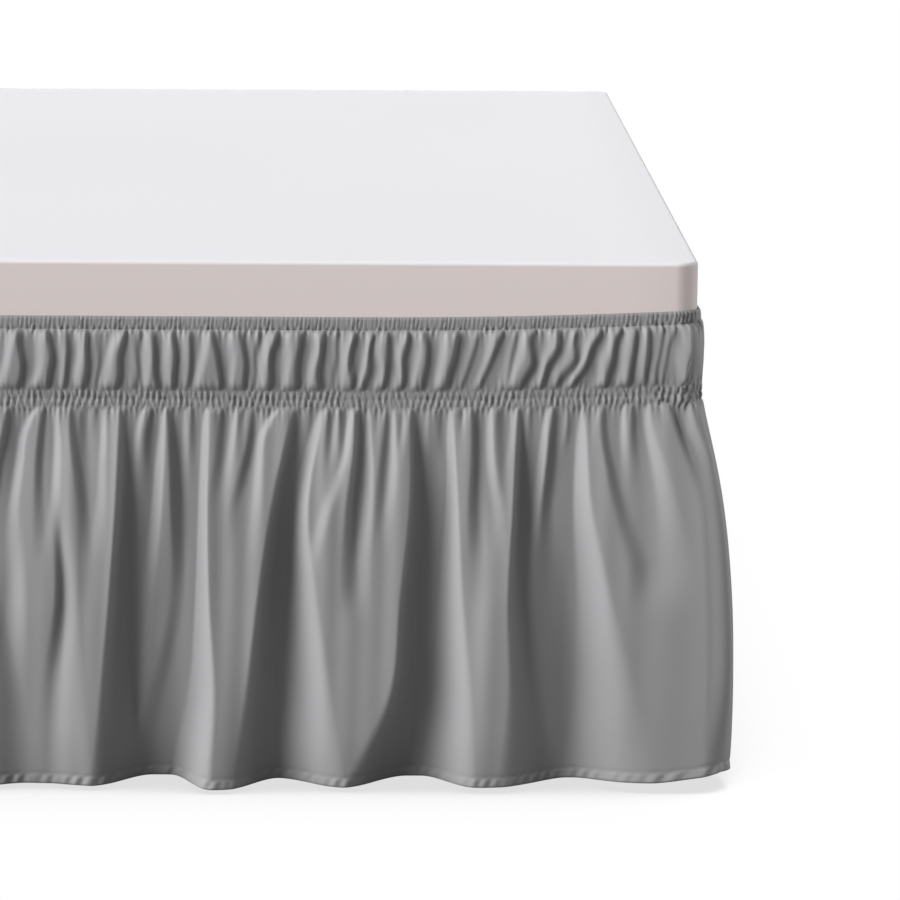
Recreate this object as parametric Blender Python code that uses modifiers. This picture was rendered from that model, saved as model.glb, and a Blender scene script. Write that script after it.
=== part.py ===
"""Bed skirt on a bed.

A gathered skirt of brushed microfibre goes all the way round a plain bed. Two narrow elastic
lines hold it: a casing along its top edge, which grips the mattress, and a second line lower
down, from which the long drop hangs in folds to just above the floor.
"""

import math
import random

import bmesh
import bpy

# The bed, in metres. X runs across it, Y from its foot (-Y) to its head, Z up from the floor.
BED_WIDTH = 1.524
BED_LENGTH = 2.032
BED_TOP = 0.506
MATTRESS_THICKNESS = 0.250
BASE_THICKNESS = 0.160
CORNER_RADIUS = 0.022
MATTRESS_EDGE_RADIUS = 0.012
BASE_INSET = 0.012
LEG_RADIUS = 0.030
LEG_INSET = 0.110
TOUCH_GAP = 0.0003

# The skirt, from its top edge down. Each strip is one sheet of cloth.
CLOTH_THICKNESS = 0.0018
SKIRT_TOP = 0.4535
CASING_HEIGHT = 0.0115
HEADING_HEIGHT = 0.0590
ELASTIC_HEIGHT = 0.0125
HEM_CLEARANCE = 0.004
GRIP_GAP = 0.0006
HANG_GAP = 0.0020

# The strips are sewn edge to edge. The gap is wide enough for edges that roll by a third of it.
SEAM_GAP = 0.0008

# Edges that turn by more than this are shaded as sharp.
SHARP_ANGLE = math.radians(25)

# Towards each corner of the bed the elastic pulls the whole skirt up a little.
CORNER_RISE = 0.0080
RISE_REACH = 0.320

# Steps round each corner and rim, and the widths of a strip's columns on the straights.
CORNER_COLUMNS = 6
RIM_SEGMENTS = 4
BAND_COLUMN = 0.060
FOOT_DROP_COLUMN = 0.019
SIDE_DROP_COLUMN = 0.032

# The heading's gathers: one crest and one valley each, pinched at both elastic lines.
FOOT_GATHER_PITCH = 0.020
SIDE_GATHER_PITCH = 0.036
GATHER_DEPTH = 0.0046
GATHER_PINCH = 0.0012
GATHER_LEAN = 0.007
HEADING_BULGE = 0.0024

# Rows of the drop, as distances below the lower elastic line; the hem is one more.
DROP_ROWS = (0.0, 0.035, 0.085, 0.160, 0.255)
FLARE_AT_ELASTIC = 0.002

# How far the drop stands out from the mattress, in millimetres, halfway down and at the hem.
FLARE = {"middle": 30, "hem": 48}
CORNER_FLARE = {"middle": 31, "hem": 35}
CORNER_FLAT = 45
CORNER_FADE = 60

# Grooves between the folds on the foot side, from the bed's middle to its right-hand corner,
# in millimetres. The first three columns are the groove's place along the outline at the
# elastic line, halfway and at the hem; a cut is how far it falls back from the flare.
GROOVE_COLUMNS = ("top", "middle", "hem", "middle_cut", "hem_cut", "left_width", "right_width")
SHOWN_GROOVES = (
    (142, 138, 133, 10, 22, 42, 40),
    (220, 218, 243, 26, 45, 54, 58),
    (264, 273, 262, 11, 0, 24, 24),
    (383, 358, 367, 26, 40, 58, 60),
    (441, 434, 430, 11, 0, 24, 24),
    (495, 493, 499, 26, 43, 64, 62),
    (553, 551, 552, 10, 0, 24, 24),
    (595, 599, 640, 25, 45, 72, 62),
    (626, 630, 636, 16, 0, 26, 26),
    (702, 707, 712, 9, 0, 24, 24),
)
GROOVE_WIDTH_ABOVE = 23

# Grooves where nothing shows them: a deep one and a small one by turns, in millimetres.
GROOVE_PITCH = 62
GROOVE_JITTER = 9
DEEP_GROOVE = {"middle_cut": (20, 27), "hem_cut": (32, 46), "width": (54, 62)}
SMALL_GROOVE = {"middle_cut": (6, 14), "hem_cut": (0, 4), "width": (24, 28)}
GROOVE_SEED = 11

STRAIGHT_X = BED_WIDTH - 2 * CORNER_RADIUS
STRAIGHT_Y = BED_LENGTH - 2 * CORNER_RADIUS
CORNER_ARC = math.pi / 2 * CORNER_RADIUS
OUTLINE_LENGTH = 2 * (STRAIGHT_X + STRAIGHT_Y) + 4 * CORNER_ARC
SIDES = (
    {"length": STRAIGHT_X, "half_extent": BED_LENGTH / 2},
    {"length": STRAIGHT_Y, "half_extent": BED_WIDTH / 2},
    {"length": STRAIGHT_X, "half_extent": BED_LENGTH / 2},
    {"length": STRAIGHT_Y, "half_extent": BED_WIDTH / 2},
)


def corner_places():
    """Distances along the outline of the four corners, from the middle of the foot side."""
    places = []
    run = -STRAIGHT_X / 2
    for side in SIDES:
        run += side["length"]
        places.append(run + CORNER_ARC / 2)
        run += CORNER_ARC
    return places


CORNERS = corner_places()


def outline_point(distance):
    """Point and outward direction on the bed's outline, at a distance from the foot's middle."""
    left = (distance + STRAIGHT_X / 2) % OUTLINE_LENGTH
    for turn, side in enumerate(SIDES):
        heading = turn * math.pi / 2
        along = (math.cos(heading), math.sin(heading))
        out = (along[1], -along[0])
        if left <= side["length"]:
            run = left - side["length"] / 2
            x = out[0] * side["half_extent"] + along[0] * run
            y = out[1] * side["half_extent"] + along[1] * run
            return x, y, out[0], out[1]
        left -= side["length"]
        if left <= CORNER_ARC:
            inner = side["half_extent"] - CORNER_RADIUS
            angle = heading - math.pi / 2 + left / CORNER_RADIUS
            out_x = math.cos(angle)
            out_y = math.sin(angle)
            x = out[0] * inner + along[0] * side["length"] / 2 + out_x * CORNER_RADIUS
            y = out[1] * inner + along[1] * side["length"] / 2 + out_y * CORNER_RADIUS
            return x, y, out_x, out_y
        left -= CORNER_ARC
    raise ValueError("distance past the outline's end")


def outline_gap(distance, place):
    """Signed distance along the outline from a place to a point, the short way round."""
    half = OUTLINE_LENGTH / 2
    return (distance - place + half) % OUTLINE_LENGTH - half


def corner_lift(distance):
    """How far the elastic pulls the skirt up here."""
    nearest = min(abs(outline_gap(distance, corner)) for corner in CORNERS)
    return CORNER_RISE * max(0.0, 1 - nearest / RISE_REACH) ** 2


def columns_round_bed(foot_step, side_step):
    """Distances of the columns of a strip: even steps on the straights and round the corners."""
    distances = []
    run = -STRAIGHT_X / 2
    for turn, side in enumerate(SIDES):
        step = foot_step if turn == 0 else side_step
        for length, count in ((side["length"], round(side["length"] / step)),
                              (CORNER_ARC, CORNER_COLUMNS)):
            distances += [run + length * index / count for index in range(count)]
            run += length
    return distances


def plain_groove(rng, place, sizes):
    """One groove drawn by chance from the given ranges."""
    shift = rng.uniform(-GROOVE_JITTER, GROOVE_JITTER)
    width = rng.uniform(*sizes["width"])
    return {
        "top": place + shift,
        "middle": place,
        "hem": place - shift,
        "middle_cut": rng.uniform(*sizes["middle_cut"]),
        "hem_cut": rng.uniform(*sizes["hem_cut"]),
        "left_width": width,
        "right_width": width,
    }


def drop_grooves():
    """Every groove of the drop, as a list of dicts in millimetres along the outline."""
    grooves = [dict(zip(GROOVE_COLUMNS, row)) for row in SHOWN_GROOVES]
    rng = random.Random(GROOVE_SEED)
    corners = [corner * 1000 for corner in CORNERS]
    runs = [(corners[0], corners[1]), (corners[1], corners[2]), (corners[2], corners[3]),
            (corners[3] - OUTLINE_LENGTH * 1000, SHOWN_GROOVES[0][0])]
    for start, end in runs:
        pairs = round((end - start) / GROOVE_PITCH / 2)
        pitch = (end - start) / pairs / 2
        for index in range(1, 2 * pairs):
            sizes = SMALL_GROOVE if index % 2 else DEEP_GROOVE
            grooves.append(plain_groove(rng, start + pitch * index, sizes))
    return grooves


def eased(value):
    """0 to 1 with a level start and end."""
    value = min(1.0, max(0.0, value))
    return value * value * (3 - 2 * value)


def drop_depth(grooves, distance, fall):
    """How far the drop stands out; fall is 0 at the elastic line and 1 at the hem."""
    upper = fall < 0.5
    near = math.sin(math.pi * fall) if upper else 2 * fall - 1
    from_corner = min(abs(outline_gap(distance, corner)) for corner in CORNERS) * 1000
    away = eased((from_corner - CORNER_FLAT) / CORNER_FADE)
    middle = CORNER_FLARE["middle"] + (FLARE["middle"] - CORNER_FLARE["middle"]) * away
    hem = CORNER_FLARE["hem"] + (FLARE["hem"] - CORNER_FLARE["hem"]) * away
    depth = middle * near if upper else middle + (hem - middle) * near
    for groove in grooves:
        if upper:
            place = groove["top"] + (groove["middle"] - groove["top"]) * near
            cut = groove["middle_cut"] * near
        else:
            place = groove["middle"] + (groove["hem"] - groove["middle"]) * near
            cut = groove["middle_cut"] + (groove["hem_cut"] - groove["middle_cut"]) * near
        offset = outline_gap(distance, place / 1000) * 1000
        width = GROOVE_WIDTH_ABOVE
        if not upper:
            side = "left_width" if offset < 0 else "right_width"
            width += (groove[side] - GROOVE_WIDTH_ABOVE) * near
        if abs(offset) < width:
            depth -= cut * 0.5 * (1 + math.cos(math.pi * offset / width))
    return max(depth, 0.0) / 1000


def new_material(name, colour, roughness):
    """A plain finish for one sub-part."""
    material = bpy.data.materials.new(name)
    material.use_nodes = True
    shader = material.node_tree.nodes["Principled BSDF"]
    shader.inputs["Base Color"].default_value = (*colour, 1.0)
    shader.inputs["Roughness"].default_value = roughness
    shader.inputs["Metallic"].default_value = 0.0
    return material


def add_object(name, mesh, material, collection):
    """Put a mesh into the model as one named sub-part."""
    mesh.materials.append(material)
    made = bpy.data.objects.new(name, mesh)
    collection.objects.link(made)
    return made


def cloth_strip(name, distances, rows, place, material, collection):
    """A strip of cloth sewn into a loop: a grid wrapped round the bed and joined end to end.

    place takes a column's distance and a row's number and returns distance, depth and height.
    """
    columns = len(distances)
    mesh = bpy.data.meshes.new(name)
    cloth = bmesh.new()
    bmesh.ops.create_grid(cloth, x_segments=columns, y_segments=rows - 1, size=0.5)
    for point in cloth.verts:
        column = round((point.co.x + 0.5) * columns) % columns
        row = round((0.5 - point.co.y) * (rows - 1))
        distance, depth, height = place(distances[column], column, row)
        x, y, out_x, out_y = outline_point(distance)
        point.co = (x + out_x * depth, y + out_y * depth, height)
    bmesh.ops.remove_doubles(cloth, verts=cloth.verts, dist=0.0001)
    cloth.to_mesh(mesh)
    cloth.free()
    mesh.shade_smooth()
    mesh.set_sharp_from_angle(angle=SHARP_ANGLE)
    made = add_object(name, mesh, material, collection)
    sheet = made.modifiers.new("sheet thickness", "SOLIDIFY")
    sheet.thickness = CLOTH_THICKNESS
    sheet.offset = 1.0
    return made


def plain_band(name, top, height, gap, material, collection):
    """A flat elastic channel all round the bed."""
    def place(distance, column, row):
        return distance, gap, top + corner_lift(distance) - height * row

    distances = columns_round_bed(BAND_COLUMN, BAND_COLUMN)
    return cloth_strip(name, distances, 2, place, material, collection)


def heading_band(top, material, collection):
    """The gathered strip between the two elastic lines, pinched at both and leaning a little."""
    distances = columns_round_bed(FOOT_GATHER_PITCH / 2, SIDE_GATHER_PITCH / 2)

    def place(distance, column, row):
        at_corner = any(abs(outline_gap(distance, corner)) < CORNER_ARC for corner in CORNERS)
        crest = 0 if at_corner else column % 2
        depth = HANG_GAP + crest * (GATHER_DEPTH if row == 1 else GATHER_PINCH)
        if row == 1:
            depth += HEADING_BULGE
        leaning = distance + GATHER_LEAN * (1 - row)
        return leaning, depth, top + corner_lift(leaning) - HEADING_HEIGHT * row / 2

    return cloth_strip("heading_band", distances, 3, place, material, collection)


def drop(top, material, collection):
    """The long panel that falls from the lower elastic line in folds to its hem."""
    grooves = drop_grooves()
    length = top - HEM_CLEARANCE
    falls = [below / length for below in DROP_ROWS] + [1.0]

    def place(distance, column, row):
        fall = falls[row]
        depth = HANG_GAP + FLARE_AT_ELASTIC * (1 - fall) + drop_depth(grooves, distance, fall)
        return distance, depth, top + corner_lift(distance) - length * fall

    distances = columns_round_bed(FOOT_DROP_COLUMN, SIDE_DROP_COLUMN)
    return cloth_strip("drop", distances, len(falls), place, material, collection)


def rounded_block(name, size, bottom, corner, edge, material, collection):
    """A block with round upright corners and, where edge is above 0, softened rims."""
    mesh = bpy.data.meshes.new(name)
    block = bmesh.new()
    bmesh.ops.create_cube(block, size=1.0)
    bmesh.ops.scale(block, vec=size, verts=block.verts)
    bmesh.ops.translate(block, vec=(0.0, 0.0, bottom + size[2] / 2), verts=block.verts)
    uprights = [line for line in block.edges
                if abs(line.verts[0].co.z - line.verts[1].co.z) > size[2] / 2]
    bmesh.ops.bevel(block, geom=uprights, offset=corner, offset_type="OFFSET",
                    segments=CORNER_COLUMNS, profile=0.5, affect="EDGES", material=-1)
    if edge > 0:
        rims = [line for line in block.edges
                if abs(line.verts[0].co.z - line.verts[1].co.z) < 1e-6]
        bmesh.ops.bevel(block, geom=rims, offset=edge, offset_type="OFFSET",
                        segments=RIM_SEGMENTS, profile=0.5, affect="EDGES", material=-1)
    block.to_mesh(mesh)
    block.free()
    mesh.shade_smooth()
    mesh.set_sharp_from_angle(angle=SHARP_ANGLE)
    return add_object(name, mesh, material, collection)


def legs(height, material, collection):
    """Six round feet under the base: four near its corners and two at its middle."""
    reach_x = BED_WIDTH / 2 - LEG_INSET
    reach_y = BED_LENGTH / 2 - LEG_INSET
    places = [(side * reach_x, row * reach_y) for side in (-1, 1) for row in (-1, 0, 1)]
    for number, (x, y) in enumerate(places, start=1):
        mesh = bpy.data.meshes.new(f"leg_{number}")
        leg = bmesh.new()
        bmesh.ops.create_cone(leg, cap_ends=True, cap_tris=False, segments=20,
                              radius1=LEG_RADIUS, radius2=LEG_RADIUS, depth=height)
        leg.to_mesh(mesh)
        leg.free()
        mesh.shade_smooth()
        mesh.set_sharp_from_angle(angle=SHARP_ANGLE)
        made = add_object(f"leg_{number}", mesh, material, collection)
        made.location = (x, y, height / 2)


def main():
    """Build the bed and then the skirt, from its top edge down."""
    for old in list(bpy.data.objects):
        bpy.data.objects.remove(old, do_unlink=True)
    model = bpy.data.collections.new("bed skirt")
    bpy.context.scene.collection.children.link(model)

    cover = new_material("mattress cover", (0.80, 0.79, 0.80), 0.85)
    ticking = new_material("base cloth", (0.58, 0.53, 0.51), 0.90)
    wood = new_material("leg wood", (0.12, 0.07, 0.04), 0.55)
    casing_cloth = new_material("casing microfibre", (0.24, 0.24, 0.245), 0.72)
    heading_cloth = new_material("heading microfibre", (0.27, 0.27, 0.275), 0.72)
    elastic_cloth = new_material("elastic line microfibre", (0.24, 0.24, 0.245), 0.72)
    drop_cloth = new_material("drop microfibre", (0.27, 0.27, 0.275), 0.72)

    mattress_bottom = BED_TOP - MATTRESS_THICKNESS
    rounded_block("mattress", (BED_WIDTH, BED_LENGTH, MATTRESS_THICKNESS), mattress_bottom,
                  CORNER_RADIUS, MATTRESS_EDGE_RADIUS, cover, model)
    base_height = BASE_THICKNESS - TOUCH_GAP
    base_bottom = mattress_bottom - BASE_THICKNESS
    base_size = (BED_WIDTH - 2 * BASE_INSET, BED_LENGTH - 2 * BASE_INSET, base_height)
    rounded_block("bed_base", base_size, base_bottom, CORNER_RADIUS - BASE_INSET, 0.0,
                  ticking, model)
    legs(base_bottom - TOUCH_GAP, wood, model)

    heading_top = SKIRT_TOP - CASING_HEIGHT - SEAM_GAP
    elastic_top = heading_top - HEADING_HEIGHT - SEAM_GAP
    drop_top = elastic_top - ELASTIC_HEIGHT - SEAM_GAP
    plain_band("top_casing", SKIRT_TOP, CASING_HEIGHT, GRIP_GAP, casing_cloth, model)
    heading_band(heading_top, heading_cloth, model)
    plain_band("lower_elastic", elastic_top, ELASTIC_HEIGHT, HANG_GAP, elastic_cloth, model)
    drop(drop_top, drop_cloth, model)


if __name__ == "__main__":
    main()
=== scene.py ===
"""Looks of a bed skirt on a bed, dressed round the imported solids."""

import math
import random

import bmesh
import bpy
import numpy as np
from mathutils import Matrix, Vector


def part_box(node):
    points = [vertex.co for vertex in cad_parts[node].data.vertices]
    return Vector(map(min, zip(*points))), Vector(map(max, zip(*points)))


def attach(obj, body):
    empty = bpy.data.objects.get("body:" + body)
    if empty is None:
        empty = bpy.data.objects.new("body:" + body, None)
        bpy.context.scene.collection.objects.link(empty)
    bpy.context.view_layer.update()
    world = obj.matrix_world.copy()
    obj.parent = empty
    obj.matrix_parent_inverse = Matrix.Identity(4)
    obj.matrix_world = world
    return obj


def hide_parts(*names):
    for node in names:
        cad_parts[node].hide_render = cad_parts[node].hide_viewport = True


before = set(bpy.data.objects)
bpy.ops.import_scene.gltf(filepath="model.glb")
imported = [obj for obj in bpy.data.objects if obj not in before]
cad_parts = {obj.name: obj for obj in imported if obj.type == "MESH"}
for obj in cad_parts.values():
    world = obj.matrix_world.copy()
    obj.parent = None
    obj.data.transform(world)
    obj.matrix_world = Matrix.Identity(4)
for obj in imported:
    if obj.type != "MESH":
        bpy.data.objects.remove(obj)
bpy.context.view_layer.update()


# ---- Legs ----------------------------------------------------------------------------------
# Six round feet of dark stained beech, turned on a lathe and screwed under the base. They
# stand behind the skirt and only show from low down, under its hem.

LEG_NODES = [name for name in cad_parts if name.startswith("leg_")]
BEECH_LIGHT = "5a4030"
BEECH_DARK = "38261b"
BEECH_GRAIN = 0.0035
BEECH_GRAIN_STRETCH = 0.08


def linear(code):
    """An sRGB hex colour as linear light with full opacity."""
    parts = [int(code[start:start + 2], 16) / 255 for start in (0, 2, 4)]
    return (*[part / 12.92 if part <= 0.04045 else ((part + 0.055) / 1.055) ** 2.4
              for part in parts], 1.0)


def add_node(tree, kind, inputs=(), **settings):
    """Add one node with its settings; inputs are values, or sockets to link, by identifier."""
    node = tree.nodes.new(kind)
    for key, value in settings.items():
        setattr(node, key, value)
    for key, value in dict(inputs).items():
        socket = next(one for one in node.inputs if one.identifier == key)
        if isinstance(value, bpy.types.NodeSocket):
            tree.links.new(value, socket)
        else:
            socket.default_value = value
    return node


def new_finish(name, **values):
    """A material whose shader starts from these constant values, with its tree and shader."""
    material = bpy.data.materials.new(name)
    material.use_nodes = True
    shader = material.node_tree.nodes["Principled BSDF"]
    for key, value in values.items():
        shader.inputs[key.replace("_", " ")].default_value = value
    return material, material.node_tree, shader


# Stained beech: thin satin lacquer over a fine straight grain that runs down the leg.
stained_beech, tree, shader = new_finish("stained beech", Roughness=0.45, Coat_Weight=0.2)
spot = add_node(tree, "ShaderNodeTexCoord")
drawn = add_node(tree, "ShaderNodeMapping", {"Vector": spot.outputs["Object"],
                                             "Scale": (1.0, 1.0, BEECH_GRAIN_STRETCH)})
grain = add_node(tree, "ShaderNodeTexNoise", {"Vector": drawn.outputs["Vector"],
                                              "Scale": 1 / BEECH_GRAIN, "Detail": 4.0})
stain = add_node(tree, "ShaderNodeMix", {"Factor_Float": grain.outputs["Fac"],
                                         "A_Color": linear(BEECH_LIGHT),
                                         "B_Color": linear(BEECH_DARK)}, data_type="RGBA")
pores = add_node(tree, "ShaderNodeBump", {"Height": grain.outputs["Fac"], "Strength": 0.2,
                                          "Distance": 0.0003})
tree.links.new(stain.outputs["Result"], shader.inputs["Base Color"])
tree.links.new(pores.outputs["Normal"], shader.inputs["Normal"])
for name in LEG_NODES:
    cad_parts[name].data.materials.clear()
    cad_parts[name].data.materials.append(stained_beech)


# ---- Base ----------------------------------------------------------------------------------
# A boxed base upholstered in plain-woven polyester ticking, stapled over a timber frame. The
# mattress stands on it and the skirt hides it on all four sides.

TICKING_LIGHT = "cbbfba"
TICKING_DARK = "b5a8a3"
TICKING_THREAD = 0.0030

# Woven ticking: dull crossed threads, drawn coarser than the real 0.5 mm so that they show.
woven_ticking, tree, shader = new_finish("woven ticking", Roughness=0.88)
shader.inputs["Specular IOR Level"].default_value = 0.25
spot = add_node(tree, "ShaderNodeTexCoord")
threads = [add_node(tree, "ShaderNodeTexWave", {"Vector": spot.outputs["Object"],
                                                "Scale": 1 / TICKING_THREAD / math.pi,
                                                "Distortion": 0.6},
                    bands_direction=direction) for direction in ("DIAGONAL", "Z")]
weave = add_node(tree, "ShaderNodeMath", {"Value": threads[0].outputs["Fac"],
                                          "Value_001": threads[1].outputs["Fac"]},
                 operation="MULTIPLY")
tone = add_node(tree, "ShaderNodeMix", {"Factor_Float": weave.outputs["Value"],
                                        "A_Color": linear(TICKING_DARK),
                                        "B_Color": linear(TICKING_LIGHT)}, data_type="RGBA")
relief = add_node(tree, "ShaderNodeBump", {"Height": weave.outputs["Value"], "Strength": 0.3,
                                           "Distance": 0.0004})
tree.links.new(tone.outputs["Result"], shader.inputs["Base Color"])
tree.links.new(relief.outputs["Normal"], shader.inputs["Normal"])
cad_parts["bed_base"].data.materials.clear()
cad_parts["bed_base"].data.materials.append(woven_ticking)


# ---- Mattress ------------------------------------------------------------------------------
# A plain foam mattress in a smooth knitted cover: white on top, pale beige round the border
# darkened with painted shade, with a softly rounded edge and no piping. The skirt's top
# elastic grips its border.

mattress_low, mattress_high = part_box("mattress")
HALF_WIDTH = mattress_high.x
HALF_LENGTH = mattress_high.y
BED_TOP = mattress_high.z
MATTRESS_CORNER = 0.022
MATTRESS_EDGE = 0.004
MATTRESS_CORNER_STEPS = 10
MATTRESS_EDGE_STEPS = 6
MATTRESS_CUTS = 24
TOP_SAG = 0.0012
TOP_SAG_RUN = 0.2
TOP_SWELLS_ACROSS = 5.1
TOP_SWELLS_ALONG = 4.3
# The border colour is the cover's beige tint darkened with painted shade of the side.
COVER_WHITE = "d8d8dc"
COVER_BEIGE_AND_SHADE = "cdc2c0"
COVER_TURN = 0.0025
COVER_TURN_SOFT = 0.0025
COVER_KNIT = 0.0022


def runs_up(edge):
    """Whether an edge of the mattress runs up it, and not along its top or bottom."""
    return abs(edge.verts[0].co.z - edge.verts[1].co.z) > MATTRESS_EDGE


mesh = bpy.data.meshes.new("mattress_cover")
body = bmesh.new()
bmesh.ops.create_cube(body, size=1.0)
bmesh.ops.scale(body, vec=mattress_high - mattress_low, verts=body.verts)
bmesh.ops.translate(body, vec=(mattress_high + mattress_low) / 2, verts=body.verts)
uprights = [edge for edge in body.edges if runs_up(edge)]
bmesh.ops.bevel(body, geom=uprights, offset=MATTRESS_CORNER, offset_type="OFFSET",
                segments=MATTRESS_CORNER_STEPS, profile=0.5, affect="EDGES", material=-1)
rims = [edge for edge in body.edges if not runs_up(edge)]
bmesh.ops.bevel(body, geom=rims, offset=MATTRESS_EDGE, offset_type="OFFSET",
                segments=MATTRESS_EDGE_STEPS, profile=0.5, affect="EDGES", material=-1)
for axis, half in (((1, 0, 0), HALF_WIDTH), ((0, 1, 0), HALF_LENGTH)):
    for cut in range(1, MATTRESS_CUTS):
        at = Vector(axis) * half * (2 * cut / MATTRESS_CUTS - 1)
        bmesh.ops.bisect_plane(body, geom=body.verts[:] + body.edges[:] + body.faces[:],
                               plane_co=at, plane_no=axis)
for point in body.verts:
    if point.co.z > BED_TOP - TOP_SAG:
        from_edge = min(HALF_WIDTH - abs(point.co.x), HALF_LENGTH - abs(point.co.y))
        swell = (math.sin(point.co.x * TOP_SWELLS_ACROSS + 1.0)
                 * math.cos(point.co.y * TOP_SWELLS_ALONG))
        point.co.z -= TOP_SAG * min(1.0, from_edge / TOP_SAG_RUN) * (0.5 + 0.5 * swell)
body.to_mesh(mesh)
body.free()
mesh.shade_smooth()
mattress = bpy.data.objects.new("mattress_cover", mesh)
bpy.context.scene.collection.objects.link(mattress)

# Knitted cover: matt, faintly looped jersey; the colour turns from white to beige at the edge.
# The border's beige is partly the cover's own tint and partly painted shade of the side.
knitted_cover, tree, shader = new_finish("knitted cover", Roughness=0.85, Sheen_Weight=0.15)
shader.inputs["Specular IOR Level"].default_value = 0.25
spot = add_node(tree, "ShaderNodeTexCoord")
parts = add_node(tree, "ShaderNodeSeparateXYZ", {"Vector": spot.outputs["Object"]})
# This mask paints shade: below the top edge the cover turns to the darker border colour.
turn = add_node(tree, "ShaderNodeMapRange",
                {"Value": parts.outputs["Z"],
                 "From Min": BED_TOP - COVER_TURN - COVER_TURN_SOFT,
                 "From Max": BED_TOP - COVER_TURN + COVER_TURN_SOFT},
                interpolation_type="SMOOTHSTEP")
loops = add_node(tree, "ShaderNodeTexVoronoi", {"Vector": spot.outputs["Object"],
                                                "Scale": 1 / COVER_KNIT})
cover = add_node(tree, "ShaderNodeMix", {"Factor_Float": turn.outputs["Result"],
                                         "A_Color": linear(COVER_BEIGE_AND_SHADE),
                                         "B_Color": linear(COVER_WHITE)}, data_type="RGBA")
relief = add_node(tree, "ShaderNodeBump", {"Height": loops.outputs["Distance"],
                                           "Strength": 0.10, "Distance": 0.0003})
tree.links.new(cover.outputs["Result"], shader.inputs["Base Color"])
tree.links.new(relief.outputs["Normal"], shader.inputs["Normal"])
mesh.materials.append(knitted_cover)
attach(mattress, "root")
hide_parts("mattress")


# ---- Top casing ----------------------------------------------------------------------------
# The skirt's top edge: the microfibre is folded over a narrow elastic and sewn down, and the
# elastic, stretched round the mattress, draws it up into fine even puckers.

SKIRT_TOP = 0.4535
CLOTH_THICKNESS = 0.0010
CLOTH_CLEAR = 0.0004
CASING_HEIGHT = 0.0123
CASING_GAP = 0.0006
CASING_BULGE = 0.0014
CASING_SEAM = 0.0010
CASING_PITCH = 0.0041
CASING_PUCKER = 0.0007
CASING_PUCKER_RIM = 0.35
CASING_SLANT = 0.0016
CASING_ROWS = 9

# The stitched puckers that every elastic line has: how far apart and deep they are, how much
# they lean, how their depth swells along the line, and how far the casing's own line reaches.
STITCH_PITCH = 0.0052
STITCH_DEPTH = 0.00076
STITCH_SLANT = 0.30
STITCH_EVEN = 0.85
STITCH_SWELL = 0.25
STITCH_MOST = 1.8
SEAM_HALF = 0.0010
SEAM_REACH = 0.0022

# The outline that the skirt follows, and where its columns of points change their spacing: at
# the strips' join, where the shown part of the foot starts, and at either end of its corner.
STRAIGHT_X = 2 * (HALF_WIDTH - MATTRESS_CORNER)
STRAIGHT_Y = 2 * (HALF_LENGTH - MATTRESS_CORNER)
CORNER_ARC = math.pi / 2 * MATTRESS_CORNER
OUTLINE_LENGTH = 2 * (STRAIGHT_X + STRAIGHT_Y) + 4 * CORNER_ARC
JOIN_PLACE = -0.10
SHOWN_START = 0.06
TURN_START = 0.735
TURN_END = 0.80
FINE_COLUMN = 0.0014
CORNER_COLUMN = 0.0011
PUCKER_COLUMN = 0.0021
JOIN_DISTANCE = 0.00001

# At a corner the elastic pulls the skirt up a little, and the cloth stands out square.
CORNER_RISE = 0.0080
RISE_REACH = 0.320
CORNER_SQUARE = 0.80
SQUARE_REACH = 0.060

MICROFIBRE = "888889"
MICROFIBRE_WORN = "808082"
NAP_LENGTH = 0.0040
NAP_WIDTH = 0.0009
SHADE_PATCH = 0.09


def outline_place(distance):
    """Points and outward directions on the bed's outline, at distances from its foot's middle.

    Distances are in metres and run to the right along the foot, then on round the bed.
    """
    left = (distance + STRAIGHT_X / 2) % OUTLINE_LENGTH
    x, y, out_x, out_y = (np.zeros_like(left) for _ in range(4))
    start = 0.0
    for turn in range(4):
        length, extent = ((STRAIGHT_X, HALF_LENGTH), (STRAIGHT_Y, HALF_WIDTH))[turn % 2]
        bearing = turn * math.pi / 2
        along = (math.cos(bearing), math.sin(bearing))
        run = left - start
        turned = np.clip((run - length) / MATTRESS_CORNER, 0, math.pi / 2)
        angle = bearing - math.pi / 2 + turned
        here = (run >= 0) & (run < length + CORNER_ARC)
        past = np.clip(run, 0, length) - length / 2
        inner = extent - MATTRESS_CORNER
        facing_x, facing_y = np.cos(angle), np.sin(angle)
        x[here] = (along[1] * inner + along[0] * past + facing_x * MATTRESS_CORNER)[here]
        y[here] = (-along[0] * inner + along[1] * past + facing_y * MATTRESS_CORNER)[here]
        out_x[here] = facing_x[here]
        out_y[here] = facing_y[here]
        start += length + CORNER_ARC
    return x, y, out_x, out_y


def outline_gap(distance, place):
    """Signed distances along the outline from a place, the short way round."""
    half = OUTLINE_LENGTH / 2
    return (distance - place + half) % OUTLINE_LENGTH - half


CORNERS = [STRAIGHT_X / 2 + CORNER_ARC / 2,
           STRAIGHT_X / 2 + STRAIGHT_Y + 1.5 * CORNER_ARC,
           1.5 * STRAIGHT_X + STRAIGHT_Y + 2.5 * CORNER_ARC,
           1.5 * STRAIGHT_X + 2 * STRAIGHT_Y + 3.5 * CORNER_ARC]


def from_corner(distance):
    """Distances along the outline to the nearest corner."""
    return np.min([np.abs(outline_gap(distance, corner)) for corner in CORNERS], axis=0)


def corner_lift(distance):
    """How far the elastic pulls the skirt up near a corner."""
    return CORNER_RISE * np.maximum(0, 1 - from_corner(distance) / RISE_REACH) ** 2


def even_steps(start, end, step):
    """Places from start up to, but without, end, about a step apart."""
    return np.linspace(start, end, round((end - start) / step), endpoint=False)


SHOWN_COLUMNS = np.concatenate((even_steps(SHOWN_START, TURN_START, FINE_COLUMN),
                                even_steps(TURN_START, TURN_END, CORNER_COLUMN)))


def round_the_bed(side_step):
    """Columns all the way round, close together where the foot shows."""
    return np.concatenate((even_steps(JOIN_PLACE, SHOWN_START, side_step), SHOWN_COLUMNS,
                           even_steps(TURN_END, OUTLINE_LENGTH + JOIN_PLACE, side_step)))


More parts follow.
